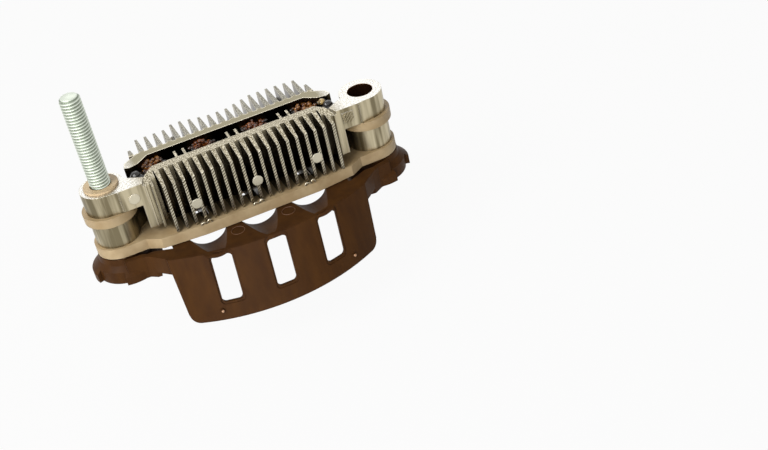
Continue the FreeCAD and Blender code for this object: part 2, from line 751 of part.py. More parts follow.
def wing(points, x, mirrored):
    plate = prism(points, wing_bottom_z, wing_bottom_z + wing_rim_h)
    wire = flat_wire(points, wing_bottom_z)
    inner = Part.Face(wire.makeOffset2D(-wall)).extrude(V(0, 0, wing_rim_h))
    inner.translate(V(0, 0, wing_plate_t))
    return plate.cut(inner).fuse(bell(x)).cut(rim_notch(x, mirrored))


def neck_front(chain):
    back = [(px, py + 2.2) for px, py in chain][::-1]
    return prism(chain + back, neck_bottom_z, deck_top_z)


def neck_roof(chain):
    away = 1 if chain[-1][0] < bolt_spacing / 2 else -1
    x_end, y_end = chain[-1]
    back = [(x_end + away * 4.4, y_end), (x_end + away * 4.4, chain[2][1]), (chain[2][0] + away * 1.8, chain[0][1] + 0.4)]
    start = (chain[1][0] - away * 0.8, chain[0][1] + 0.4)
    return prism([start] + chain[1:] + back, deck_top_z - wall, deck_top_z)


def air_shroud():
    stud_pts, bolt_pts = wing_points_stud(), wing_points_bolt()
    body = fuse_all([flange(), deck()])
    body = body.fuse(wing(stud_pts, 0.0, False)).fuse(wing(bolt_pts, bolt_spacing, True))
    body = body.fuse(neck_front(neck_points_stud())).fuse(neck_front(neck_points_bolt()))
    body = body.fuse(neck_roof(neck_points_stud())).fuse(neck_roof(neck_points_bolt()))
    body = body.fuse(lobe_wall())
    body = body.fuse(cyl(tube_wall_r, deck_top_z - wall, -upper_ear_h - tube_top_gap, bolt_spacing))
    tools = []
    for x in (0.0, bolt_spacing):
        tools.append(cyl(recess_r, wing_bottom_z - 1, recess_floor_z, x))
    tools.append(cyl(stud_r + shank_clearance, wing_bottom_z, deck_top_z + 1))
    tools.append(cyl(tube_bore_r, wing_bottom_z - 1, 1, bolt_spacing))
    body = cut_all(body, tools)
    for x in flange_pip_x:
        y = hem_y(x)
        body = body.fuse(cyl_y(flange_pip_r, y + 0.2, y + 2.4, x, flange_pip_z))
    return body.removeSplitter()


def lobe_wall():
    s = bolt_spacing
    points = [(s - 8.8, 13.0), (s - 7.2, 29.0), (s - 0.8, 30.4), (s + 4.2, 28.2), (s + 6.6, 22.0), (s + 7.0, 13.0)]
    wire = flat_wire(points, wing_bottom_z + 1)
    height = deck_top_z - wing_bottom_z - 1
    solid = Part.Face(wire).extrude(V(0, 0, height))
    hollow = Part.Face(wire.makeOffset2D(-wall)).extrude(V(0, 0, height + 1))
    hollow.translate(V(0, 0, wing_plate_t - 1))
    return solid.cut(hollow)


def main():
    os.makedirs("parts", exist_ok=True)
    save("negative_heatsink", negative_heatsink())
    save("positive_heatsink", positive_heatsink())
    save("terminal_board", terminal_board())
    save("air_shroud", air_shroud())
    save("output_stud", output_stud())
    save("stud_bush", stud_bush())
    save("washer_stud_side", washer(0.0, stud_r + shank_clearance))
    save("washer_bolt_side", washer(bolt_spacing, tube_hole_r))
    around = []
    for i, x in enumerate(place_xs()):
        number = str(i + 1)
        negative = diode(x, gap_front_y, gap_front_y + diode_t)
        positive = diode(x, gap_rear_y - diode_t, gap_rear_y)
        lead = lead_frame(x)
        potting = resin(x, [negative, positive, lead])
        save("stator_terminal_" + number, lead)
        save("negative_diode_" + number, negative)
        save("positive_diode_" + number, positive)
        save("resin_" + number, potting)
        around.append([negative, potting])
    for i, x in enumerate(opening_xs()):
        save("link_strap_" + str(i + 1), link_strap(x))
    save("contact_plate_1", contact_plate(window_stud_x0, window_stud_x1))
    save("contact_plate_2", contact_plate(window_bolt_x0, window_bolt_x1))
    save("end_insulator_1", end_insulator(insulator_x, around[0]))
    save("end_insulator_2", end_insulator(bolt_spacing - insulator_x, around[-1]))


main()
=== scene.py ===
# %% [markdown]
# # Alternator rectifier
# The real object is a sandwich: two die-cast heatsinks hold the diodes, a beige moulded board
# carries the stator connections under them, and a brown moulding guides the cooling air.
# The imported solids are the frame. They keep their shape here and get finishes. Only what is too
# fine for the solids is added as a mesh, such as the stud's thread or the strokes of a grip pad.

# %% Load the frame
import math

import bpy
from mathutils import Matrix, Vector


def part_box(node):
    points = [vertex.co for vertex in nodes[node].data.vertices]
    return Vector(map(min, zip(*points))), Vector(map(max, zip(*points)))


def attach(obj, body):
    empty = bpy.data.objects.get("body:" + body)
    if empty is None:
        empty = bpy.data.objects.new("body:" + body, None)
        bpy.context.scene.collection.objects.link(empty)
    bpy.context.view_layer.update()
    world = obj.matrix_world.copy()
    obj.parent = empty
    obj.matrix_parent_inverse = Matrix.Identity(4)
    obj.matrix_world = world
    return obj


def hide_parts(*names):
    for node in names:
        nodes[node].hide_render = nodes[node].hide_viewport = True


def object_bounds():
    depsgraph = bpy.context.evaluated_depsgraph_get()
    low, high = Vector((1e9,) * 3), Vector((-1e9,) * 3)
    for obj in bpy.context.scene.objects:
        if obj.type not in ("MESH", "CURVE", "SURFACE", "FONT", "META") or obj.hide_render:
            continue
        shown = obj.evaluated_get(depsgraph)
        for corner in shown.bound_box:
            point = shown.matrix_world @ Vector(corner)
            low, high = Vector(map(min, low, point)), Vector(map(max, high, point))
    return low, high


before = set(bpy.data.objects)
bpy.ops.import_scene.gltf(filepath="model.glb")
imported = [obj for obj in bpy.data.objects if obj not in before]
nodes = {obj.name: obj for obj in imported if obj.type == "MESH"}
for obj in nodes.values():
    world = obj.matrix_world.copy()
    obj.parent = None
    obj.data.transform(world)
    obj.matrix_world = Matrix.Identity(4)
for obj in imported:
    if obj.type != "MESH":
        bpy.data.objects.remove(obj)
cad_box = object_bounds()
print("CAD box, m:", [tuple(round(c, 4) for c in corner) for corner in cad_box])

# %% [markdown]
# ## Places read from the solids
# Lengths are in metres like the frame, so a millimetre gets a name. What is added has to sit
# where the solids are. Its place could be typed in, but a place read from the solids follows
# them when they change, so the stud's axis, the diodes and the board's heights come from there.
# The frame's origin is the axis of the open fixing bore.

# %% Places read from the solids
MM = 0.001
stud_low, stud_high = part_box("output_stud")
board_low, board_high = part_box("terminal_board")
stud_axis = Vector(((stud_low.x + stud_high.x) / 2, (stud_low.y + stud_high.y) / 2, 0.0))
terminals = [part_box("stator_terminal_" + str(k)) for k in (1, 2, 3, 4)]
place_x = [(low.x + high.x) / 2 for low, high in terminals]
print("stud axis, mm:", round(stud_axis.x / MM, 2))
print("stud length, mm:", round((stud_high.z - stud_low.z) / MM, 2))
print("diode places, mm:", [round(x / MM, 1) for x in place_x])

# %% [markdown]
# ## Two helpers
# Colours are written as sRGB hex, the way a colour chart gives them, and turned linear once.
# A node tree could be drawn in the shader editor, but a tree written in code can be read and
# changed like the rest. One function adds a node with its settings and links: a link's key is
# the socket's name or number, and what it brings is a plain value, a socket of another node, or
# a node, which stands for its first output.


# %% Helpers for colour and nodes
def linear(hex_text):
    values = []
    for i in (0, 2, 4):
        c = int(hex_text[i:i + 2], 16) / 255
        values.append(c / 12.92 if c <= 0.04045 else ((c + 0.055) / 1.055) ** 2.4)
    return (values[0], values[1], values[2], 1.0)


def add(tree, kind, links=None, **settings):
    made = tree.nodes.new(kind)
    for name, value in settings.items():
        setattr(made, name, value)
    for name, value in (links or {}).items():
        if isinstance(value, bpy.types.Node):
            value = value.outputs[0]
        if isinstance(value, bpy.types.NodeSocket):
            tree.links.new(value, made.inputs[name])
        else:
            made.inputs[name].default_value = value
    return made


def new_material(name):
    made = bpy.data.materials.new(name)
    made.use_nodes = True
    made.node_tree.nodes.clear()
    return made, made.node_tree


print("a middle grey, linear:", round(linear("808080")[0], 3))

# %% [markdown]
# ## Die-cast aluminium
# Both heatsinks are pressure die castings. The sides keep the satin skin of the die, a warm
# yellow grey. The tops of the two ears were blasted nearly white, and every edge gets a painted
# highlight that sparkles. Deep between the fins hardly any light returns, so the colour there is
# painted shade, and the gaps read almost black.
# Each zone could have a material of its own, but then the faces would have to be sorted by hand.
# Here one metal carries all of them: masks made from the normal, from the place in the frame and
# from how open the surface is choose the colour, so a zone ends where the form ends.
# A blasted casting's grit is about 0.4 mm, and the hatching on the fins' tips is finer still.
# Both would vanish in the render, so they are drawn coarser, at 0.55 mm and at 1 mm. The marks
# of being drawn out of the die are 2.6 mm wide, and long, because they are squeezed in Z.

# %% Sizes of the casting's surface
GRIT = 0.55 * MM
GRIT_DEPTH = 0.14 * MM
ROPE = 1.0 * MM
ROPE_LEAN = math.radians(35)
DRAW_MARK = 2.6 * MM
DRAW_SQUEEZE = 0.07
EDGE_R = 0.30 * MM
STRIP_EDGE_R = 0.8 * MM
SHADE_REACH = 9 * MM
print("hatching, strokes per 10 mm:", round(10 * MM / ROPE))

# %% Where the casting's masks begin
# A pair holds where a mask starts to show and where it is full: by how far a face looks up, by
# how far an edge has turned the normal, and by how open the surface is.
TOP_FACING = (0.80, 0.97)
EDGE_TURN = (0.985, 0.80)
RIM_TURN = (0.995, 0.94)
OPEN_TO_SHADE = (0.68, 0.16)
print("a face counts as a top from, degrees:", round(math.degrees(math.acos(TOP_FACING[0]))))

# %% Places of the casting's zones
# A pair again holds where a zone starts to show and where it is full.
EAR_REACH = (15.0 * MM, 9.0 * MM)
FIN_TIP_Y = (-12.8 * MM, -13.3 * MM)
DISC_Y = (-13.5 * MM, -13.6 * MM)
REAR_STRIP_Y = (5.0 * MM, 8.0 * MM)
REAR_FINS_Y = (13.4 * MM, 14.6 * MM)
GAP_FRONT_Y = (0.5 * MM, 0.7 * MM)
GAP_REAR_Y = (10.3 * MM, 10.1 * MM)
BORE_WALL_R = 5.15 * MM
ARM_DISC = Vector((stud_axis.x + 9.4 * MM, 0.0, -5.1 * MM))
ARM_DISC_R = 2.1 * MM
ARM_DISC_Y = -9.15 * MM
print("arm disc, mm:", [round(c / MM, 1) for c in ARM_DISC])

# %% Colours of the casting
SKIN = ("7C7259", "BFB497")
RIDGE_TOP = ("655D49", "B9B19D")
REAR_FIN_TOP = ("555146", "989589")
EAR_TOP = ("B4B1A8", "EFEDE8")
FIN_TIP = ("625A45", "C9C1AC")
STRIP_TOP = "777059"
# Painted highlight: the colour of the rear strip's rim.
PAINTED_RIM_HIGHLIGHT = "EDE5D0"
FIN_DISC = "C4BDA8"
ARM_DISC_FACE = "CBC3AC"
# Painted highlight: the colour of the casting's edges.
PAINTED_EDGE_HIGHLIGHT = "ECE6D6"
# Painted shade: the colour where the surface is closed.
DEEP_SHADE = "2A1F11"
# Painted shade: the colour of the walls inside the gap.
GAP_PAINTED_SHADE = "33271A"
BORE_WALL = "7A5334"
print("painted edge highlight, linear:", [round(c, 2) for c in linear(PAINTED_EDGE_HIGHLIGHT)[:3]])


# %% Masks of the ears, the rear side, the tops and the fins' tips
def zone_masks(tree, place, normal):
    spot = add(tree, "ShaderNodeSeparateXYZ", {"Vector": place})
    x = spot.outputs["X"]
    y = spot.outputs["Y"]
    from_bore = add(tree, "ShaderNodeMath", {0: x}, operation="ABSOLUTE")
    past_stud = add(tree, "ShaderNodeMath", {0: x, 1: stud_axis.x}, operation="SUBTRACT")
    from_stud = add(tree, "ShaderNodeMath", {0: past_stud}, operation="ABSOLUTE")
    nearer = add(tree, "ShaderNodeMath", {0: from_bore, 1: from_stud}, operation="MINIMUM")
    up = add(tree, "ShaderNodeSeparateXYZ", {"Vector": normal}).outputs["Z"]
    zones = (
        ("ear", nearer, EAR_REACH),
        ("rear_fins", y, REAR_FINS_Y),
        ("behind", y, REAR_STRIP_Y),
        ("top", up, TOP_FACING),
        ("tip", y, FIN_TIP_Y),
        ("disc", y, DISC_Y),
    )
    masks = {}
    for name, value, (start, full) in zones:
        masks[name] = add(tree, "ShaderNodeMapRange", {"Value": value, "From Min": start, "From Max": full})
    masks["strip"] = add(tree, "ShaderNodeMath", {0: masks["behind"], 1: masks["rear_fins"]},
                         operation="SUBTRACT")
    return masks


# %% Masks of the gap, the bore and the arm's disc
# Painted shade: the walls inside the gap between the heatsinks are coloured dark brown.
def gap_mask(tree, place, masks):
    y = add(tree, "ShaderNodeSeparateXYZ", {"Vector": place}).outputs["Y"]
    past_front = add(tree, "ShaderNodeMapRange", {"Value": y, "From Min": GAP_FRONT_Y[0],
                                                  "From Max": GAP_FRONT_Y[1]})
    before_rear = add(tree, "ShaderNodeMapRange", {"Value": y, "From Min": GAP_REAR_Y[0],
                                                   "From Max": GAP_REAR_Y[1]})
    between = add(tree, "ShaderNodeMath", {0: past_front, 1: before_rear}, operation="MULTIPLY")
    outside = add(tree, "ShaderNodeMath", {0: masks["top"], 1: masks["ear"]}, operation="ADD")
    return add(tree, "ShaderNodeMath", {0: between, 1: outside}, operation="SUBTRACT", use_clamp=True)


def bore_mask(tree, place):
    flat_place = add(tree, "ShaderNodeVectorMath", {0: place, 1: (1.0, 1.0, 0.0)}, operation="MULTIPLY")
    away = add(tree, "ShaderNodeVectorMath", {0: flat_place}, operation="LENGTH").outputs["Value"]
    return add(tree, "ShaderNodeMath", {0: away, 1: BORE_WALL_R}, operation="LESS_THAN")


def arm_disc_mask(tree, place):
    flat_place = add(tree, "ShaderNodeVectorMath", {0: place, 1: (1.0, 0.0, 1.0)}, operation="MULTIPLY")
    away = add(tree, "ShaderNodeVectorMath", {0: flat_place, 1: tuple(ARM_DISC)}, operation="DISTANCE")
    inside = add(tree, "ShaderNodeMath", {0: away.outputs["Value"], 1: ARM_DISC_R}, operation="LESS_THAN")
    y = add(tree, "ShaderNodeSeparateXYZ", {"Vector": place}).outputs["Y"]
    proud = add(tree, "ShaderNodeMath", {0: y, 1: ARM_DISC_Y}, operation="LESS_THAN")
    return add(tree, "ShaderNodeMath", {0: inside, 1: proud}, operation="MULTIPLY")


# %% Draw marks and hatching of the casting
def draw_marks(tree, place):
    drawn = add(tree, "ShaderNodeMapping", {"Vector": place, "Scale": (1.0, 1.0, DRAW_SQUEEZE)})
    marks = add(tree, "ShaderNodeTexNoise", {"Vector": drawn, "Scale": 1 / DRAW_MARK, "Detail": 2.0})
    return add(tree, "ShaderNodeMapRange", {"Value": marks, "From Min": 0.38, "From Max": 0.60})


def tip_hatching(tree, place):
    # At scale 1 the wave texture draws one band in tau / 20 units.
    slanted = add(tree, "ShaderNodeMapping", {"Vector": place, "Rotation": (0.0, ROPE_LEAN, 0.0)})
    rope = add(tree, "ShaderNodeTexWave", {"Vector": slanted, "Scale": math.tau / (20 * ROPE),
                                           "Distortion": 1.2, "Detail": 1.0, "Detail Scale": 1.5},
               bands_direction="Z")
    return add(tree, "ShaderNodeMapRange", {"Value": rope.outputs["Fac"], "From Min": 0.25,
                                            "From Max": 0.75})


# %% Colour of the bare casting, zone by zone
def zone_colour(tree, place, masks, spark):
    tones = {}
    for name, mask, pair in (("skin", draw_marks(tree, place), SKIN), ("ridge", spark, RIDGE_TOP),
                             ("rear", spark, REAR_FIN_TOP), ("ear", spark, EAR_TOP),
                             ("tip", tip_hatching(tree, place), FIN_TIP)):
        tones[name] = add(tree, "ShaderNodeMix", {0: mask, 6: linear(pair[0]), 7: linear(pair[1])},
                          data_type="RGBA").outputs[2]
    top = tones["ridge"]
    for mask, over in ((masks["rear_fins"], tones["rear"]), (masks["strip"], linear(STRIP_TOP)),
                       (masks["ear"], tones["ear"])):
        top = add(tree, "ShaderNodeMix", {0: mask, 6: top, 7: over}, data_type="RGBA").outputs[2]
    tip = add(tree, "ShaderNodeMix", {0: masks["disc"], 6: tones["tip"], 7: linear(FIN_DISC)},
              data_type="RGBA").outputs[2]
    colour = tones["skin"]
    on_arm_disc = arm_disc_mask(tree, place)
    for mask, over in ((masks["top"], top), (masks["tip"], tip), (on_arm_disc, linear(ARM_DISC_FACE))):
        colour = add(tree, "ShaderNodeMix", {0: mask, 6: colour, 7: over}, data_type="RGBA").outputs[2]
    return colour


# %% Painted highlights on the casting's edges
# Painted highlight on the edges, broken up by the grit, and whole along the rear strip.
def painted_edge_highlight(tree, normal, round_edge, spark, strip):
    flat = add(tree, "ShaderNodeVectorMath", {0: round_edge, 1: normal}, operation="DOT_PRODUCT")
    edge = add(tree, "ShaderNodeMapRange", {"Value": flat.outputs["Value"], "From Min": EDGE_TURN[0],
                                            "From Max": EDGE_TURN[1]})
    broken = add(tree, "ShaderNodeMapRange", {"Value": spark, "To Min": 0.7})
    whole = add(tree, "ShaderNodeMath", {0: broken, 1: strip}, operation="MAXIMUM")
    return edge, add(tree, "ShaderNodeMath", {0: edge, 1: whole}, operation="MULTIPLY")


# Painted highlight along the rim of the rear strip's top.
def painted_rim_highlight(tree, normal, masks):
    broad = add(tree, "ShaderNodeBevel", {"Radius": STRIP_EDGE_R}, samples=4)
    flat = add(tree, "ShaderNodeVectorMath", {0: broad, 1: normal}, operation="DOT_PRODUCT")
    rim = add(tree, "ShaderNodeMapRange", {"Value": flat.outputs["Value"], "From Min": RIM_TURN[0],
                                           "From Max": RIM_TURN[1]})
    on_strip = add(tree, "ShaderNodeMath", {0: rim, 1: masks["strip"]}, operation="MULTIPLY")
    return add(tree, "ShaderNodeMath", {0: on_strip, 1: masks["top"]}, operation="MULTIPLY")


# %% Die-cast aluminium
def make_cast_aluminium():
    made, tree = new_material("die_cast_aluminium")
    place = add(tree, "ShaderNodeTexCoord").outputs["Object"]
    normal = add(tree, "ShaderNodeNewGeometry").outputs["Normal"]
    masks = zone_masks(tree, place, normal)
    grit = add(tree, "ShaderNodeTexNoise", {"Vector": place, "Scale": 1 / GRIT, "Detail": 3.0,
                                            "Roughness": 0.6})
    spark = add(tree, "ShaderNodeMapRange", {"Value": grit, "From Min": 0.46, "From Max": 0.58})
    round_edge = add(tree, "ShaderNodeBevel", {"Radius": EDGE_R}, samples=4)
    edge, edge_highlight_mask = painted_edge_highlight(tree, normal, round_edge, spark, masks["strip"])
    # Painted shade: where ambient occlusion finds the surface closed, the colour turns nearly black.
    openness = add(tree, "ShaderNodeAmbientOcclusion", {"Distance": SHADE_REACH}, samples=6).outputs["AO"]
    in_shade = add(tree, "ShaderNodeMapRange", {"Value": openness, "From Min": OPEN_TO_SHADE[0],
                                                "From Max": OPEN_TO_SHADE[1]})
    colour = zone_colour(tree, place, masks, spark)
    for mask, over in ((edge_highlight_mask, PAINTED_EDGE_HIGHLIGHT), (painted_rim_highlight(tree, normal, masks), PAINTED_RIM_HIGHLIGHT),
                       (in_shade, DEEP_SHADE), (gap_mask(tree, place, masks), GAP_PAINTED_SHADE),
                       (bore_mask(tree, place), BORE_WALL)):
        colour = add(tree, "ShaderNodeMix", {0: mask, 6: colour, 7: linear(over)},
                     data_type="RGBA").outputs[2]
    roughness = add(tree, "ShaderNodeMapRange", {"Value": masks["ear"], "To Min": 0.27, "To Max": 0.36})
    gritty = add(tree, "ShaderNodeMath", {0: masks["top"], 1: edge}, operation="MAXIMUM")
    gritty = add(tree, "ShaderNodeMath", {0: gritty, 1: masks["strip"]}, operation="SUBTRACT",
                 use_clamp=True)
    relief = add(tree, "ShaderNodeMapRange", {"Value": gritty, "To Min": 0.10, "To Max": 0.28})
    bumped = add(tree, "ShaderNodeBump", {"Strength": relief, "Distance": GRIT_DEPTH, "Height": grit,
                                          "Normal": round_edge})
    surface = add(tree, "ShaderNodeBsdfPrincipled", {"Base Color": colour, "Metallic": 1.0,
                                                     "Roughness": roughness, "Normal": bumped})
    add(tree, "ShaderNodeOutputMaterial", {"Surface": surface})
    return made


cast_aluminium = make_cast_aluminium()
print("die-cast aluminium, shader nodes:", len(cast_aluminium.node_tree.nodes))

# %% [markdown]
# ## Beige mouldings
# The board and the insulating washers are glass-filled mouldings: matt, warm beige, with a faint
# mottle where the melt flowed and a fine orange-peel. A photograph of such plastic could be
# wrapped round them, but it would need unwrapping and would blur up close. Two noises at the
# sizes of the mottle and of the peel stay sharp, and one recipe serves every beige piece, with
# the colours matched to each. The real peel is about 0.2 mm, and is drawn at 0.5 mm to show.

# %% Sizes of the beige mouldings' surface
MOTTLE = 6 * MM
PEEL = 0.5 * MM
PEEL_DEPTH = 0.08 * MM
MOULDED_EDGE_R = 0.3 * MM


# %% Beige mouldings
def make_beige(name, low, high, roughness):
    made, tree = new_material(name)
    place = add(tree, "ShaderNodeTexCoord").outputs["Object"]
    mottle = add(tree, "ShaderNodeTexNoise", {"Vector": place, "Scale": 1 / MOTTLE, "Detail": 3.0})
    peel = add(tree, "ShaderNodeTexNoise", {"Vector": place, "Scale": 1 / PEEL, "Detail": 2.0})
    mix = add(tree, "ShaderNodeMapRange", {"Value": mottle, "From Min": 0.35, "From Max": 0.65})
    base = add(tree, "ShaderNodeMix", {0: mix, 6: linear(low), 7: linear(high)},
               data_type="RGBA").outputs[2]
    round_edge = add(tree, "ShaderNodeBevel", {"Radius": MOULDED_EDGE_R}, samples=4)
    bumped = add(tree, "ShaderNodeBump", {"Strength": 0.10, "Distance": PEEL_DEPTH, "Height": peel,
                                          "Normal": round_edge})
    surface = add(tree, "ShaderNodeBsdfPrincipled", {"Base Color": base, "IOR": 1.5, "Roughness": roughness,
                                                     "Normal": bumped})
    add(tree, "ShaderNodeOutputMaterial", {"Surface": surface})
    return made


board_beige = make_beige("glass_filled_beige_board", "AC936D", "BEA781", roughness=0.5)
washer_beige = make_beige("glass_filled_beige_washer", "A88F68", "B49D78", roughness=0.45)
bush_beige = make_beige("glass_filled_beige_bush", "CAAF87", "D5BC96", roughness=0.45)
print("beige mottle, mm:", round(MOTTLE / MM, 1), "peel, mm:", round(PEEL / MM, 1))

# %% [markdown]
# ## Brown air guide
# A glass-filled engineering plastic, brown right through and satin from the mould. The melt ran
# down the flange, so the colour is streaked along the height. Streaks could be painted on, but
# the same noise squeezed to a fifth in Z draws itself out into them. A low specular keeps the
# dark brown from going grey, and painted shade, a darker colour in the hollows, makes the deck and the rims
# read.
# The glass shows as fine flecks of gloss, which are drawn at 0.6 mm, coarser than they are.

# %% Sizes of the brown moulding's surface
STREAK = 4 * MM
STREAK_SQUEEZE = 0.2
FLECK = 0.6 * MM
FLECK_DEPTH = 0.1 * MM
GUIDE_EDGE_R = 0.35 * MM
HOLLOW_REACH = 14 * MM


# %% Brown moulding
def make_brown_moulding():
    made, tree = new_material("satin_brown_moulding")
    place = add(tree, "ShaderNodeTexCoord").outputs["Object"]
    drawn = add(tree, "ShaderNodeMapping", {"Vector": place, "Scale": (1.0, 1.0, STREAK_SQUEEZE)})
    streak = add(tree, "ShaderNodeTexNoise", {"Vector": drawn, "Scale": 1 / STREAK, "Detail": 3.0})
    fleck = add(tree, "ShaderNodeTexNoise", {"Vector": place, "Scale": 1 / FLECK, "Detail": 2.0})
    mix = add(tree, "ShaderNodeMapRange", {"Value": streak, "From Min": 0.3, "From Max": 0.7})
    base = add(tree, "ShaderNodeMix", {0: mix, 6: linear("402610"), 7: linear("4E3013")},
               data_type="RGBA").outputs[2]
    # Painted shade: the colour turns nearly black where ambient occlusion finds the surface closed.
    openness = add(tree, "ShaderNodeAmbientOcclusion", {"Distance": HOLLOW_REACH}, samples=4).outputs["AO"]
    in_light = add(tree, "ShaderNodeMapRange", {"Value": openness, "From Min": 0.15, "From Max": 0.75})
    base = add(tree, "ShaderNodeMix", {0: in_light, 6: linear("1C0D05"), 7: base},
               data_type="RGBA").outputs[2]
    satin = add(tree, "ShaderNodeMapRange", {"Value": fleck, "From Min": 0.3, "From Max": 0.7,
                                             "To Min": 0.42, "To Max": 0.52})
    round_edge = add(tree, "ShaderNodeBevel", {"Radius": GUIDE_EDGE_R}, samples=4)
    bumped = add(tree, "ShaderNodeBump", {"Strength": 0.06, "Distance": FLECK_DEPTH, "Height": fleck,
                                          "Normal": round_edge})
    surface = add(tree, "ShaderNodeBsdfPrincipled", {"Base Color": base, "IOR": 1.5, "Roughness": satin,
                                                     "Specular IOR Level": 0.08, "Normal": bumped})
    add(tree, "ShaderNodeOutputMaterial", {"Surface": surface})
    return made


brown_moulding = make_brown_moulding()
print("brown streaks, mm:", round(STREAK / MM, 1), "by", round(STREAK / STREAK_SQUEEZE / MM, 1))

# %% [markdown]
# ## Tinned and plated sheet
# The terminals, straps and contact plates are tinned sheet: warm and soft, with dull patches
# where solder has run. The diode cases are nickel plated. Solder could be modelled as drops, but
# at this size only its change of gloss is seen, so one noise drives colour and roughness
# together. The straps lie in the shade of the fins and get darker tones of the same metal as painted
# shade, and the strokes of the grip pad get dull tones without the casting's painted highlights.

# %% Sizes of the plated metal's surface
SOLDER_PATCH = 1.5 * MM
STROKE_PATCH = 1 * MM
SHEET_EDGE_R = 0.12 * MM


# %% Plated metals
def make_plated(name, low, high, patch_size, rough_low, rough_high):
    made, tree = new_material(name)
    place = add(tree, "ShaderNodeTexCoord").outputs["Object"]
    patch = add(tree, "ShaderNodeTexNoise", {"Vector": place, "Scale": 1 / patch_size, "Detail": 3.0})
    mix = add(tree, "ShaderNodeMapRange", {"Value": patch, "From Min": 0.35, "From Max": 0.65})
    base = add(tree, "ShaderNodeMix", {0: mix, 6: linear(low), 7: linear(high)},
               data_type="RGBA").outputs[2]
    roughness = add(tree, "ShaderNodeMapRange", {"Value": mix, "To Min": rough_low, "To Max": rough_high})
    round_edge = add(tree, "ShaderNodeBevel", {"Radius": SHEET_EDGE_R}, samples=4)
    surface = add(tree, "ShaderNodeBsdfPrincipled", {"Base Color": base, "Metallic": 1.0,
                                                     "Roughness": roughness, "Normal": round_edge})
    add(tree, "ShaderNodeOutputMaterial", {"Surface": surface})
    return made


tin = make_plated("tinned_copper_sheet", "A69C85", "D2CAB7", SOLDER_PATCH, rough_low=0.26, rough_high=0.45)
dull_cast = make_plated("dull_cast_aluminium", "857C65", "978D75", STROKE_PATCH,
                           rough_low=0.40, rough_high=0.50)
# Painted shade: the straps lie in the shade of the fins and get darker tones.
strap_tin_painted_shade = make_plated("tinned_strap_painted_shade", "575140", "7B735E", SOLDER_PATCH,
                        rough_low=0.40, rough_high=0.55)
nickel = make_plated("nickel_plated_case", "6E6552", "978D78", SOLDER_PATCH,
                     rough_low=0.30, rough_high=0.45)
print("plated metals:", [m.name for m in (tin, dull_cast, strap_tin_painted_shade, nickel)])

# %% [markdown]
# ## Zinc on the thread
# The stud is zinc plated and passivated, which leaves a pale, slightly green silver. Its thread's
# roots are painted darker, as painted shade, and its crests lighter, as painted highlight. The
# light alone could shade the thread, but soft light fills its grooves, so the colour also
# follows the distance from the stud's axis, from root to crest. The end face and the head have
# no thread and stay bright.

# %% Sizes of the zinc's surface
ROOT_R = 3.38 * MM
CREST_HIGHLIGHT_R = 3.95 * MM
ZINC_PATCH = 3 * MM
END_FACE = 0.3 * MM


# %% Zinc-plated steel
def make_zinc():
    made, tree = new_material("zinc_plated_steel")
    place = add(tree, "ShaderNodeTexCoord").outputs["Object"]
    flat_place = add(tree, "ShaderNodeVectorMath", {0: place, 1: (1.0, 1.0, 0.0)}, operation="MULTIPLY")
    away = add(tree, "ShaderNodeVectorMath", {0: flat_place, 1: tuple(stud_axis)}, operation="DISTANCE")
    height = add(tree, "ShaderNodeMapRange", {"Value": away.outputs["Value"], "From Min": ROOT_R,
                                              "From Max": CREST_HIGHLIGHT_R})
    patch = add(tree, "ShaderNodeTexNoise", {"Vector": place, "Scale": 1 / ZINC_PATCH, "Detail": 3.0})
    crest = add(tree, "ShaderNodeMix", {0: patch, 6: linear("CED5C8"), 7: linear("DEE3D8")},
                data_type="RGBA").outputs[2]
    z = add(tree, "ShaderNodeSeparateXYZ", {"Vector": place}).outputs["Z"]
    at_end = add(tree, "ShaderNodeMath", {0: z, 1: stud_high.z - END_FACE}, operation="GREATER_THAN")
    at_head = add(tree, "ShaderNodeMath", {0: z, 1: 0.0}, operation="LESS_THAN")
    bare = add(tree, "ShaderNodeMath", {0: at_end, 1: at_head}, operation="MAXIMUM")
    bright = add(tree, "ShaderNodeMath", {0: height, 1: bare}, operation="MAXIMUM")
    # Painted shade in the thread's roots and painted highlight on its crests.
    base = add(tree, "ShaderNodeMix", {0: bright, 6: linear("879080"), 7: crest},
               data_type="RGBA").outputs[2]
    roughness = add(tree, "ShaderNodeMapRange", {"Value": patch, "To Min": 0.50, "To Max": 0.60})
    surface = add(tree, "ShaderNodeBsdfPrincipled", {"Base Color": base, "Metallic": 1.0,
                                                     "Roughness": roughness})
    add(tree, "ShaderNodeOutputMaterial", {"Surface": surface})
    return made


zinc = make_zinc()
print("thread shaded from radius", round(ROOT_R / MM, 2), "to", round(CREST_HIGHLIGHT_R / MM, 2), "mm")

# %% [markdown]
# ## Potting resins
# The gap between the heatsinks is filled at each diode with rust-coloured potting resin, and
# closed at its ends by darker drops. Both cured with a wet-looking skin. Real resin lets light
# in, but following that light would cost time for a few millimetres of dark stuff. So it is an
# opaque base that wanders from rust to nearly black, under a thin clear coat for the wet look.
# A block fades to black at its two ends, along a ragged line.

# %% Sizes of the resin's surface
RESIN_SWELL = 1.6 * MM
RESIN_RELIEF = 0.6 * MM
RUST_PATCH = 1.6 * MM
DARK_PATCH = 2.5 * MM


# %% Resins
def ragged_ends(tree, swell):
    across = add(tree, "ShaderNodeTexCoord").outputs["Generated"]
    across = add(tree, "ShaderNodeSeparateXYZ", {"Vector": across}).outputs["X"]
    from_middle = add(tree, "ShaderNodeMath", {0: across, 1: 0.5}, operation="SUBTRACT")
    from_middle = add(tree, "ShaderNodeMath", {0: from_middle}, operation="ABSOLUTE")
    ragged = add(tree, "ShaderNodeMath", {0: swell, 1: 0.5, 2: from_middle}, operation="MULTIPLY_ADD")
    return add(tree, "ShaderNodeMapRange", {"Value": ragged, "From Min": 0.52, "From Max": 0.66})


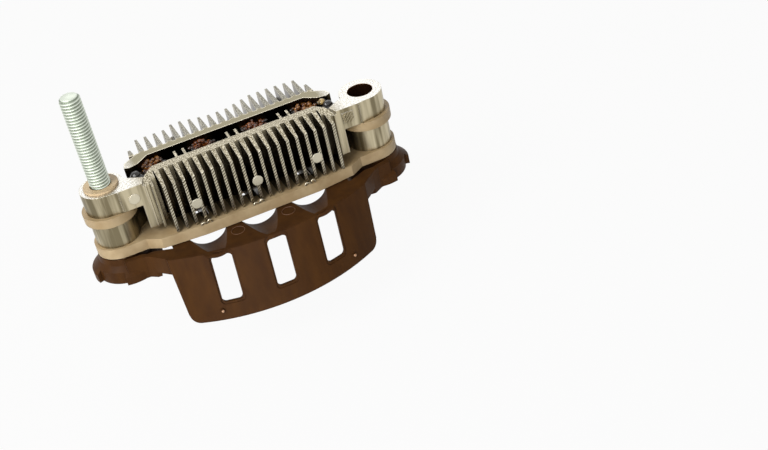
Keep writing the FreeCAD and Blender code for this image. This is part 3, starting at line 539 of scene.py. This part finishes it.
def make_resin(name, low, high, patch_size):
    made, tree = new_material(name)
    place = add(tree, "ShaderNodeTexCoord").outputs["Object"]
    patch = add(tree, "ShaderNodeTexNoise", {"Vector": place, "Scale": 1 / patch_size, "Detail": 4.0})
    swell = add(tree, "ShaderNodeTexNoise", {"Vector": place, "Scale": 1 / RESIN_SWELL, "Detail": 1.0})
    mix = add(tree, "ShaderNodeMapRange", {"Value": patch, "From Min": 0.42, "From Max": 0.62})
    base = add(tree, "ShaderNodeMix", {0: mix, 6: linear(low), 7: linear(high)},
               data_type="RGBA").outputs[2]
    base = add(tree, "ShaderNodeMix", {0: ragged_ends(tree, swell), 6: base, 7: linear("120903")},
               data_type="RGBA").outputs[2]
    bumped = add(tree, "ShaderNodeBump", {"Strength": 0.6, "Distance": RESIN_RELIEF, "Height": swell})
    surface = add(tree, "ShaderNodeBsdfPrincipled", {"Base Color": base, "IOR": 1.53, "Roughness": 0.22,
                                                     "Coat Weight": 0.25, "Coat Roughness": 0.05,
                                                     "Normal": bumped})
    add(tree, "ShaderNodeOutputMaterial", {"Surface": surface})
    return made


potting = make_resin("rust_potting_resin", "1A0B04", "8F4A1A", RUST_PATCH)
end_resin = make_resin("dark_end_resin", "050302", "120A04", DARK_PATCH)
print("resins:", potting.name, end_resin.name)

# %% [markdown]
# ## A finish for every node
# Each solid is one piece of one stuff, so it takes one finish. The material could be set piece
# by piece, but the nodes are named by kind and number, so the start of a name is enough to look
# its finish up in one table.

# %% Give every node its finish
FINISHES = {
    "negative_heatsink": cast_aluminium,
    "positive_heatsink": cast_aluminium,
    "terminal_board": board_beige,
    "air_shroud": brown_moulding,
    "output_stud": zinc,
    "stud_bush": bush_beige,
    "washer": washer_beige,
    "stator_terminal": tin,
    "link_strap": strap_tin_painted_shade,
    "contact_plate": tin,
    "negative_diode": nickel,
    "positive_diode": nickel,
    "resin": potting,
    "end_insulator": end_resin,
}
for name, node in nodes.items():
    key = next(k for k in FINISHES if name.startswith(k))
    for material_slot in node.material_slots:
        material_slot.material = FINISHES[key]
print("finished nodes:", len(nodes))

# %% [markdown]
# ## One way to add a piece
# Small pieces could be made with Blender's ready primitives and then moved into place, but the
# thread and the curls have none, and a crust of drops would be forty objects. So every added mesh
# is built from points and faces. It gets one finish and one named slot, and rides the part's
# root, since nothing here moves. A skin over a stack of rings serves most of the shapes.


# %% Helper for added pieces
def mesh_piece(name, points, faces, finish, sharp_degrees=40):
    mesh = bpy.data.meshes.new(name)
    mesh.from_pydata([tuple(p) for p in points], [], faces)
    mesh.update()
    mesh.materials.append(finish)
    mesh.shade_smooth()
    mesh.set_sharp_from_angle(angle=math.radians(sharp_degrees))
    piece = bpy.data.objects.new(name, mesh)
    bpy.context.scene.collection.objects.link(piece)
    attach(piece, "root")
    return piece


def skin_rings(rings):
    count = len(rings[0])
    points = [p for ring in rings for p in ring]
    faces = []
    for r in range(len(rings) - 1):
        for s in range(count):
            t = (s + 1) % count
            faces.append((r * count + s, r * count + t, (r + 1) * count + t, (r + 1) * count + s))
    faces.append(tuple(reversed(range(count))))
    faces.append(tuple((len(rings) - 1) * count + s for s in range(count)))
    return points, faces


# %% [markdown]
# ## The threaded stud
# The real stud is a rolled M8 screw, 1.25 mm pitch. Its ridges are the main thing the eye reads.
# A bump map would leave the outline straight, and a swept profile tears at its ends, so the
# thread is real geometry: rings whose radius rises and falls with the helix's phase. Rolling
# leaves rounded crests and roots, so the ridge is a smoothed triangle rather than sharp flanks.
# At the end the radius is held under a 45 degree cone, which gives the stud its point.

# %% Stud sizes
PITCH = 1.25 * MM
CREST_R = 4.0 * MM
THREAD_DEPTH = 0.62 * MM
POINT_R = 2.95 * MM
THREAD_START = 1.0 * MM
RINGS_PER_PITCH = 12
SEGMENTS = 80
SHANK_R = 3.6 * MM
SHANK_END = 0.8 * MM
HEAD_R = 7.6 * MM
HEAD_T = 3.0 * MM
HEAD_ROUND = ((7.0 * MM, 0.0), (7.4 * MM, 0.16 * MM), (HEAD_R, 0.6 * MM))


# %% Thread
def thread_radius(angle, z):
    phase = (z / PITCH - angle / math.tau) % 1.0
    away = abs(phase - 0.5) * 2
    ridge = away * away * (3 - 2 * away)
    return min(CREST_R - THREAD_DEPTH * (1 - ridge), POINT_R + stud_high.z - z)


def ring_at(centre, z, radius_of):
    angles = [math.tau * s / SEGMENTS for s in range(SEGMENTS)]
    return [centre + Vector((radius_of(a) * math.cos(a), radius_of(a) * math.sin(a), z)) for a in angles]


def stud_rings():
    head_top = stud_low.z + HEAD_T
    outline = [(radius, stud_low.z + rise) for radius, rise in HEAD_ROUND]
    outline += [(HEAD_R, head_top), (SHANK_R, head_top), (SHANK_R, SHANK_END)]
    rings = [ring_at(stud_axis, z, lambda a, r=radius: r) for radius, z in outline]
    steps = int((stud_high.z - THREAD_START) / (PITCH / RINGS_PER_PITCH))
    for i in range(steps + 1):
        z = THREAD_START + (stud_high.z - THREAD_START) * i / steps
        rings.append(ring_at(stud_axis, z, lambda a, h=z: thread_radius(a, h)))
    return rings


# %% Threaded stud
points, faces = skin_rings(stud_rings())
stud = mesh_piece("threaded_output_stud", points, faces, zinc, sharp_degrees=60)
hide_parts("output_stud")
print("thread faces:", len(stud.data.polygons))

# %% [markdown]
# ## Strokes on the grip pad
# The front heatsink's right arm has a small raised pad with slanted strokes, left by the die where
# the casting was gripped. A texture would blur at this size, so each stroke is a low bar, wider
# at its foot, and its length is clipped to a circle, which makes the outer ones short.

# %% Grip pad sizes
PAD_X = -9.4 * MM
PAD_Z = -4.2 * MM
PAD_FACE_Y = -9.25 * MM
PAD_R = 2.2 * MM
STROKES = 5
STROKE_PITCH = 0.95 * MM
STROKE_LEAN = math.radians(40)
STROKE_FOOT = (0.1 * MM, 0.28 * MM)
STROKE_TOP = (-0.28 * MM, 0.16 * MM)
BAR_FACES = [(3, 2, 1, 0), (4, 5, 6, 7), (0, 1, 5, 4), (1, 2, 6, 5), (2, 3, 7, 6), (3, 0, 4, 7)]

# %% Grip pad strokes
along = Vector((math.sin(STROKE_LEAN), 0.0, math.cos(STROKE_LEAN)))
across = Vector((along.z, 0.0, -along.x))
for k in range(STROKES):
    offset = (k - (STROKES - 1) / 2) * STROKE_PITCH
    half_length = math.sqrt(PAD_R ** 2 - offset ** 2)
    middle_point = Vector((PAD_X, PAD_FACE_Y, PAD_Z)) + across * offset
    corners = []
    for y, half_width in (STROKE_FOOT, STROKE_TOP):
        for end, side in ((-1, -1), (1, -1), (1, 1), (-1, 1)):
            corner = middle_point + along * half_length * end + across * half_width * side
            corners.append(corner + Vector((0.0, y, 0.0)))
    mesh_piece("grip_stroke_" + str(k + 1), corners, BAR_FACES, dull_cast)
print("grip strokes:", STROKES)

# %% [markdown]
# ## Terminal curls at the board's edge
# Half way between the diodes a tinned terminal is curled over the board's front edge, and shows
# as two bright little loops under the fins. A curve object with a bevel could draw them, but the
# ring skinner from the stud is already here, so a loop is a tube swept along an arc that begins
# and ends in the board.


# %% Swept tube
def swept_tube(path, radius, sides=8):
    rings = []
    for i, point in enumerate(path):
        ahead = path[min(i + 1, len(path) - 1)] - path[max(i - 1, 0)]
        turned = ahead.to_track_quat("Z", "Y").to_matrix()
        rings.append([point + turned @ Vector((radius * math.cos(math.tau * s / sides),
                                               radius * math.sin(math.tau * s / sides), 0.0))
                      for s in range(sides)])
    return skin_rings(rings)


# %% Terminal curls
CURL_R = 0.9 * MM
CURL_WIRE_R = 0.32 * MM
CURL_STEPS = 10
CURL_BOW = 0.1 * MM
CURL_Y = board_low.y + 0.55 * MM
CURL_Z = board_high.z - 0.1 * MM
CURL_SHIFT = 0.3 * MM
CURLS = (("left", -1.25 * MM, 1.17 * MM), ("right", 1.25 * MM, 1.5795 * MM))
for k in range(3):
    middle_x = (place_x[k] + place_x[k + 1]) / 2 + CURL_SHIFT
    for side, aside, tall in CURLS:
        centre = Vector((middle_x + aside, CURL_Y, CURL_Z))
        turn = [math.pi * t / CURL_STEPS for t in range(CURL_STEPS + 1)]
        path = [centre + Vector((CURL_R * math.cos(a), -CURL_BOW * math.sin(a), tall * math.sin(a)))
                for a in turn]
        points, faces = swept_tube(path, CURL_WIRE_R)
        mesh_piece("terminal_curl_" + str(k + 1) + "_" + side, points, faces, tin)
print("curls stand over the board by, mm:", [round(tall / MM, 2) for side, aside, tall in CURLS])

# %% [markdown]
# ## Resin froth
# The potting rose while it cured and set as a crust of drops, rust and amber, along the rear
# heatsink's wall. Metaballs or a fluid could grow such a crust, but slowly and not twice alike.
# Each crust is one mesh of small squashed balls instead. Their places and sizes come from a
# sine-based hash, so the same crust grows on every run.


# %% Drops
def hash_value(n):
    return (math.sin(n * 12.9898) * 43758.5453) % 1.0


def drop_rings(centre, radius, squash, turns=12, rows=7):
    rings = []
    for r in range(1, rows):
        tilt = math.pi * r / rows
        rings.append([centre + Vector((radius * math.sin(tilt) * math.cos(math.tau * t / turns),
                                       radius * math.sin(tilt) * math.sin(math.tau * t / turns),
                                       -radius * squash * math.cos(tilt))) for t in range(turns)])
    return rings


def join_drops(drops):
    points, faces = [], []
    for centre, radius, squash in drops:
        more, more_faces = skin_rings(drop_rings(centre, radius, squash))
        faces += [tuple(i + len(points) for i in face) for face in more_faces]
        points += more
    return points, faces


# %% Froth sizes and finishes
DROPS = 40
DROP_R = (0.5 * MM, 1.2 * MM)
DROP_SQUASH = 0.8
FROTH_HALF = 5.2 * MM
FROTH_WALL = 0.5 * MM
FROTH_DEEP = 4.6 * MM
FROTH_SINK = 0.2 * MM
FROTH_RISE = 2.6 * MM
FROTH_CROWDING = 1.6
FROTH_CREST = 1.1
amber_crust = make_resin("amber_potting_crust", "3E1907", "B27632", 0.9 * MM)
rust_crust = make_resin("rust_potting_crust", "311305", "9A531B", 0.8 * MM)
CRUSTS = (amber_crust, rust_crust, rust_crust, amber_crust)
resin_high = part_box("resin_1")[1]

# %% Froth at each diode
for k, x in enumerate(place_x):
    drops = []
    for n in range(DROPS):
        seed = k * DROPS + n
        aside = (hash_value(seed + 1) - 0.5) * 2
        from_wall = hash_value(seed + 2) ** FROTH_CROWDING
        climb = hash_value(seed + 3) * (FROTH_CREST - abs(aside)) * (1 - from_wall)
        centre = Vector((x + aside * FROTH_HALF, resin_high.y - FROTH_WALL - from_wall * FROTH_DEEP,
                         resin_high.z - FROTH_SINK + climb * FROTH_RISE))
        radius = DROP_R[0] + hash_value(seed + 4) * (DROP_R[1] - DROP_R[0])
        drops.append((centre, radius, DROP_SQUASH))
    points, faces = join_drops(drops)
    mesh_piece("resin_froth_" + str(k + 1), points, faces, CRUSTS[k])
print("drops in a crust:", DROPS)

# %% [markdown]
# ## Beads at the gap's ends
# At each end of the gap the dark resin stands up as a cluster of three drops, and at the bore's
# end a pale amber one sits beside them. They are the same squashed balls as in the froth, placed
# one by one, because there are few of them and their places are seen.

# %% Bead sizes
BEAD_SINK = 0.7 * MM
BEAD_BACK = 0.4 * MM
# Each drop has its place beside the cluster's centre, its radius and how flat it lies.
BEAD_DROPS = (
    (Vector((0.0, 0.0, 0.0)) * MM, 2.1 * MM, 0.9),
    (Vector((1.1, 0.9, -0.6)) * MM, 1.4 * MM, 0.8),
    (Vector((-1.3, 0.5, -0.7)) * MM, 1.3 * MM, 0.8),
)
AMBER_PLACE = Vector((-1.4, 2.0, 1.0)) * MM
AMBER_DROPS = (
    (Vector((0.0, 0.0, 0.0)) * MM, 1.6 * MM, 0.8),
    (Vector((-1.3, 0.7, -0.3)) * MM, 0.9 * MM, 0.7),
)

# %% Beads
for k in (1, 2):
    low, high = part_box("end_insulator_" + str(k))
    centre = Vector(((low.x + high.x) / 2, (low.y + high.y) / 2 + BEAD_BACK, high.z - BEAD_SINK))
    points, faces = join_drops([(centre + offset, radius, squash) for offset, radius, squash in BEAD_DROPS])
    mesh_piece("end_bead_" + str(k), points, faces, end_resin, sharp_degrees=80)
amber_resin = make_resin("amber_end_resin", "7A5A28", "D9BC7C", 1.2 * MM)
centre = centre + AMBER_PLACE
points, faces = join_drops([(centre + offset, radius, squash) for offset, radius, squash in AMBER_DROPS])
mesh_piece("amber_bead", points, faces, amber_resin, sharp_degrees=80)
print("amber bead, mm:", [round(c / MM, 1) for c in centre])

# %% [markdown]
# ## Witness marks of the brown moulding
# Ejector pins leave thin raised rings on the deck, and the two gate pips low on the flange broke
# off pale. Both could be drawn in the moulding's material, but a ring that is a tenth of a
# millimetre high still catches a line of light, so each ring is a thin swept tube, and each pip a
# small pale drop, partly sunk in the flange.

# %% Ejector rings
rubbed_brown = make_beige("rubbed_brown_edge", "6E4A32", "7E5840", roughness=0.45)
RING_R = 2.6 * MM
RING_WIRE_R = 0.11 * MM
RING_STEPS = 48
RING_Y = -19.6 * MM
RING_Z = board_low.z - 0.3 * MM
RING_SPACING = (place_x[3] - place_x[0]) / 3 - 0.6 * MM
RING_MIDDLE = stud_axis.x / 2 - 1.2 * MM
for side, aside in (("left", -RING_SPACING / 2), ("right", RING_SPACING / 2)):
    centre = Vector((RING_MIDDLE + aside, RING_Y, RING_Z))
    turn = [math.tau * t / RING_STEPS for t in range(RING_STEPS + 1)]
    path = [centre + Vector((RING_R * math.cos(a), RING_R * math.sin(a), 0.0)) for a in turn]
    points, faces = swept_tube(path, RING_WIRE_R, sides=6)
    mesh_piece("ejector_ring_" + side, points, faces, rubbed_brown)
print("ejector rings apart, mm:", round(RING_SPACING / MM, 1))

# %% Gate pips
pip_plastic = make_beige("broken_gate_plastic", "B08562", "CDA27F", roughness=0.4)
PIP_R = 0.62 * MM
PIP_Z = -50.0 * MM
PIP_SET_BACK = 0.35 * MM
FLANGE_FRONT_Y = -38.4 * MM
FLANGE_R = 76.0 * MM
FLANGE_MIDDLE_X = stud_axis.x + 50.5 * MM
PIPS_FROM_STUD = (("left", 24.97 * MM), ("right", 80.53 * MM))
for side, from_stud in PIPS_FROM_STUD:
    pip_x = stud_axis.x + from_stud
    front_y = FLANGE_FRONT_Y + FLANGE_R - math.sqrt(FLANGE_R ** 2 - (pip_x - FLANGE_MIDDLE_X) ** 2)
    points, faces = join_drops([(Vector((pip_x, front_y + PIP_SET_BACK, PIP_Z)), PIP_R, 1.0)])
    mesh_piece("gate_pip_" + side, points, faces, pip_plastic, sharp_degrees=80)

# %% [markdown]
# ## Floor and world
# The part hangs a little above a plain white floor, as on a photographer's table, so its shadow
# stays soft and pale. A white world alone would light everything evenly and leave the metal
# flat. So the world is white only to the camera and to what is seen mirrored in the part. What
# lights the part is dimmer, brighter from above and from the left, so that the metal has
# something to shade against. The floor does the same, and keeps a small share for its shadow.



# %% Rays that see the background
def sees_background(tree):
    path = add(tree, "ShaderNodeLightPath")
    mirrored = add(tree, "ShaderNodeMath", {0: path.outputs["Is Glossy Ray"],
                                            1: path.outputs["Is Transmission Ray"]}, operation="MAXIMUM")
    return add(tree, "ShaderNodeMath", {0: path.outputs["Is Camera Ray"], 1: mirrored}, operation="MAXIMUM")


# %% Floor material
WHITE = (1.0, 1.0, 1.0, 1.0)
BACKGROUND_SHARE = 0.94


def make_floor():
    made, tree = new_material("white_studio_floor")
    lit = add(tree, "ShaderNodeBsdfPrincipled", {"Base Color": linear("C8C8C6"), "Roughness": 0.9,
                                                 "Specular IOR Level": 0.1})
    plain = add(tree, "ShaderNodeEmission", {"Color": WHITE, "Strength": 1.0})
    share = add(tree, "ShaderNodeMath", {0: sees_background(tree), 1: BACKGROUND_SHARE},
                operation="MULTIPLY")
    both = add(tree, "ShaderNodeMixShader", {0: share, 1: lit, 2: plain})
    add(tree, "ShaderNodeOutputMaterial", {"Surface": both})
    return made


# %% Floor
FLOOR_HALF = 4
FLOOR_DROP = 22 * MM
floor_z = cad_box[0][2] - FLOOR_DROP
floor_corners = [(x * FLOOR_HALF, y * FLOOR_HALF, floor_z) for x, y in ((-1, -1), (1, -1), (1, 1), (-1, 1))]
floor_mesh = bpy.data.meshes.new("studio_floor")
floor_mesh.from_pydata(floor_corners, [], [(0, 1, 2, 3)])
floor = bpy.data.objects.new("studio_floor", floor_mesh)
bpy.context.scene.collection.objects.link(floor)
floor_mesh.materials.append(make_floor())
print("floor at z, mm:", round(floor_z / MM, 1))

# %% World
LIGHT_BY_HEIGHT = (0.16, 0.50)
LIGHT_BY_SIDE = (1.20, 0.20)
world = bpy.data.worlds.new("studio_world")
bpy.context.scene.world = world
world.use_nodes = True
tree = world.node_tree
tree.nodes.clear()
sky = add(tree, "ShaderNodeTexCoord").outputs["Generated"]
towards = add(tree, "ShaderNodeSeparateXYZ", {"Vector": sky})
by_height = add(tree, "ShaderNodeMapRange", {"Value": towards.outputs["Z"], "From Min": -0.1,
                                             "From Max": 0.9, "To Min": LIGHT_BY_HEIGHT[0],
                                             "To Max": LIGHT_BY_HEIGHT[1]})
by_side = add(tree, "ShaderNodeMapRange", {"Value": towards.outputs["X"], "From Min": -1.0, "From Max": 1.0,
                                           "To Min": LIGHT_BY_SIDE[0], "To Max": LIGHT_BY_SIDE[1]})
level = add(tree, "ShaderNodeMath", {0: by_height, 1: by_side}, operation="MULTIPLY")
soft = add(tree, "ShaderNodeBackground", {"Color": WHITE, "Strength": level})
white = add(tree, "ShaderNodeBackground", {"Color": WHITE, "Strength": 1.0})
seen = add(tree, "ShaderNodeMixShader", {0: sees_background(tree), 1: soft, 2: white})
add(tree, "ShaderNodeOutputWorld", {"Surface": seen})
print("world light, low and high:", LIGHT_BY_HEIGHT)

# %% [markdown]
# ## Lamps
# A sun would draw hard shadows between the fins. Area lamps stand in for a photographer's
# softboxes instead. A large one from the upper left gives the main shape. Two low strips, on the
# left and in front, draw the vertical bright bands on the round ears and the stud. A weak lamp
# on the right keeps that side from going black, and one behind lifts the rear fins.


# %% Lamps
def soft_light(name, at, width, height, power):
    data = bpy.data.lights.new(name, "AREA")
    data.shape = "RECTANGLE"
    data.size = width
    data.size_y = height
    data.energy = power
    lamp = bpy.data.objects.new(name, data)
    bpy.context.scene.collection.objects.link(lamp)
    lamp.location = at
    lamp.rotation_euler = (lamp_aim - Vector(at)).to_track_quat("-Z", "Y").to_euler()
    return lamp


lamp_aim = Vector((stud_axis.x / 2, 0.0, -0.01))
soft_light("key_softbox", at=(-0.76, -0.38, 0.66), width=0.60, height=0.50, power=7.6)
soft_light("left_strip", at=(-0.36, -0.64, 0.01), width=0.42, height=0.12, power=1.2)
soft_light("front_strip", at=(-0.02, -0.75, 0.0), width=0.25, height=0.10, power=0.7)
soft_light("right_fill", at=(0.55, -0.6, 0.25), width=0.60, height=0.60, power=0.03)
soft_light("back_softbox", at=(0.1, 0.7, 0.6), width=0.60, height=0.60, power=1.2)
print("lamps, W in all:", round(sum(light.energy for light in bpy.data.lights), 2))

# %% [markdown]
# ## Camera
# A camera could be aimed at a point, but that fixes only where it looks. The lens, the place and
# the three axes of this view were worked out from the part's outline, so the part fills the
# picture from the same side, from the same height and with the same lean.

# %% Camera
LENS = 60.01
SENSOR = 36.0
CAMERA_PLACE = (-0.124605, -0.423830, 0.240458)
view_right = Vector((0.904438, -0.388459, -0.176328))
view_up = Vector((0.360281, 0.474182, 0.803336))
view_back = Vector((-0.228452, -0.790095, 0.568823))
camera_data = bpy.data.cameras.new("product_camera")
camera_data.lens = LENS
camera_data.sensor_width = SENSOR
camera = bpy.data.objects.new("product_camera", camera_data)
bpy.context.scene.collection.objects.link(camera)
axes = Matrix((view_right, view_up, view_back)).transposed()
camera.matrix_world = Matrix.Translation(CAMERA_PLACE) @ axes.to_4x4()
bpy.context.scene.camera = camera
bpy.context.scene.view_settings.view_transform = "Standard"
print("camera to the bore's axis, m:", round(Vector(CAMERA_PLACE).length, 3))
